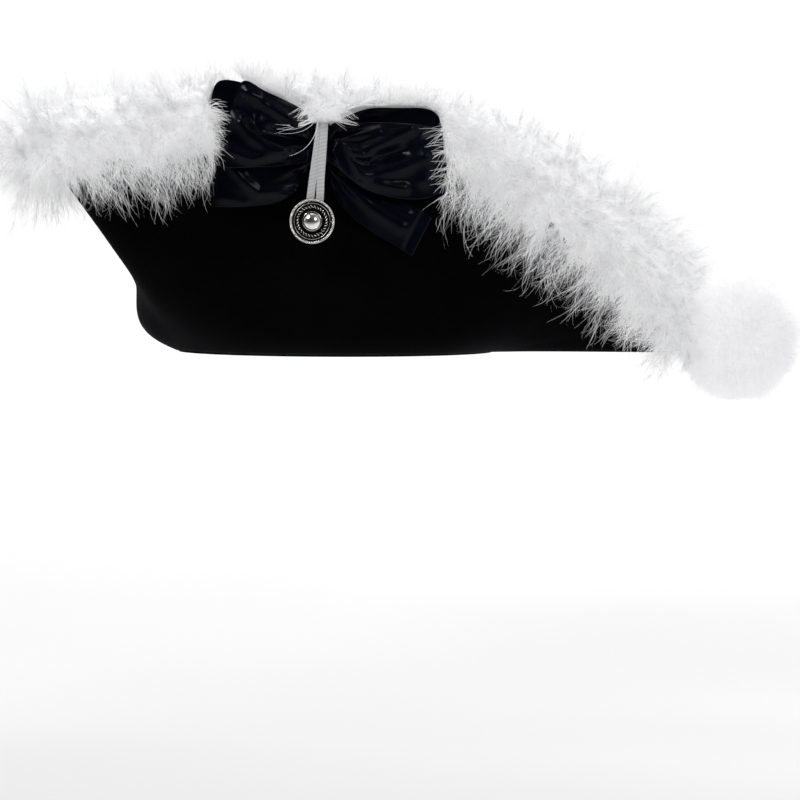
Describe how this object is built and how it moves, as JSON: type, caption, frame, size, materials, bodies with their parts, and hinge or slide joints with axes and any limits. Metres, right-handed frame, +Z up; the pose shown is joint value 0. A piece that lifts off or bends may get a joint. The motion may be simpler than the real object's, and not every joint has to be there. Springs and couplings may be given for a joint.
{
  "type": "pirate hat",
  "caption": "Three-cornered costume hat with a turned-up velvet brim, feather boa edge, satin bow, ribbon loop with a metal button, and a fur pompom on one point.",
  "frame": {"origin": "centre of the head opening, in the plane of its lower edge", "axes": "+X towards the point with the pompom, +Z up out of the wearer's head, -Y the side with the bow"},
  "size_m": [0.4574, 0.3492, 0.1977],
  "materials": {
    "black_velvet": "matte",
    "black_satin": "satin",
    "lining_satin": "satin",
    "sweatband_tape": "matte",
    "foam": "matte",
    "wire": "satin",
    "thread": "matte",
    "white_thread": "matte",
    "marabou": "matte",
    "white_fur": "matte",
    "grosgrain": "satin",
    "antique_silver": "satin"
  },
  "bodies": {
    "root": {"crown_side": "black_velvet", "crown_tip": "black_velvet", "lining_side": "lining_satin", "lining_tip": "lining_satin", "sweatband": "sweatband_tape", "brim_inner_face": "black_velvet", "brim_stiffener": "foam", "brim_outer_face": "black_velvet", "brim_wire": "wire", "brim_tacks": "thread", "boa_cord": "white_thread", "near_feather_boa": "marabou", "far_feather_boa": "marabou", "back_feather_boa": "marabou", "bow_left_loop": "black_satin", "bow_right_loop": "black_satin", "bow_left_tail": "black_satin", "bow_right_tail": "black_satin", "bow_knot": "black_satin", "ribbon_stitch": "thread", "tip_stitch": "thread", "bow_stitch": "thread"},
    "ribbon": {"ribbon_loop": "grosgrain"},
    "button": {"button_plate": "antique_silver", "button_rope_rim": "antique_silver", "button_dome": "antique_silver", "button_shank": "antique_silver"},
    "pompom_link": {"pompom_link": "white_thread"},
    "pompom": {"pompom_thread": "white_thread", "pompom_core": "white_thread", "pompom_fur": "white_fur"}
  },
  "joints": [
    {"name": "ribbon_swing", "type": "hinge", "parent": "root", "child": "ribbon", "pos_m": [0.02388, -0.11248, 0.147], "axis": [-0.3338, 0.9426, 0], "range_deg": [-18, 18], "stiffness_Nm_per_rad": 0.01},
    {"name": "button_tilt", "type": "hinge", "parent": "ribbon", "child": "button", "pos_m": [0.01823, -0.11448, 0.083], "axis": [0.9426, 0.3338, 0], "range_deg": [0, 25], "stiffness_Nm_per_rad": 0.005},
    {"name": "pompom_nod", "type": "hinge", "parent": "root", "child": "pompom_link", "pos_m": [0.2316, 0, 0.0032], "axis": [0, 1, 0], "range_deg": [-15, 60], "stiffness_Nm_per_rad": 0.05},
    {"name": "pompom_sway", "type": "hinge", "parent": "pompom_link", "child": "pompom", "pos_m": [0.2354, 0, 0.0032], "axis": [0, 0, 1], "range_deg": [-15, 15], "stiffness_Nm_per_rad": 0.05}
  ]
}
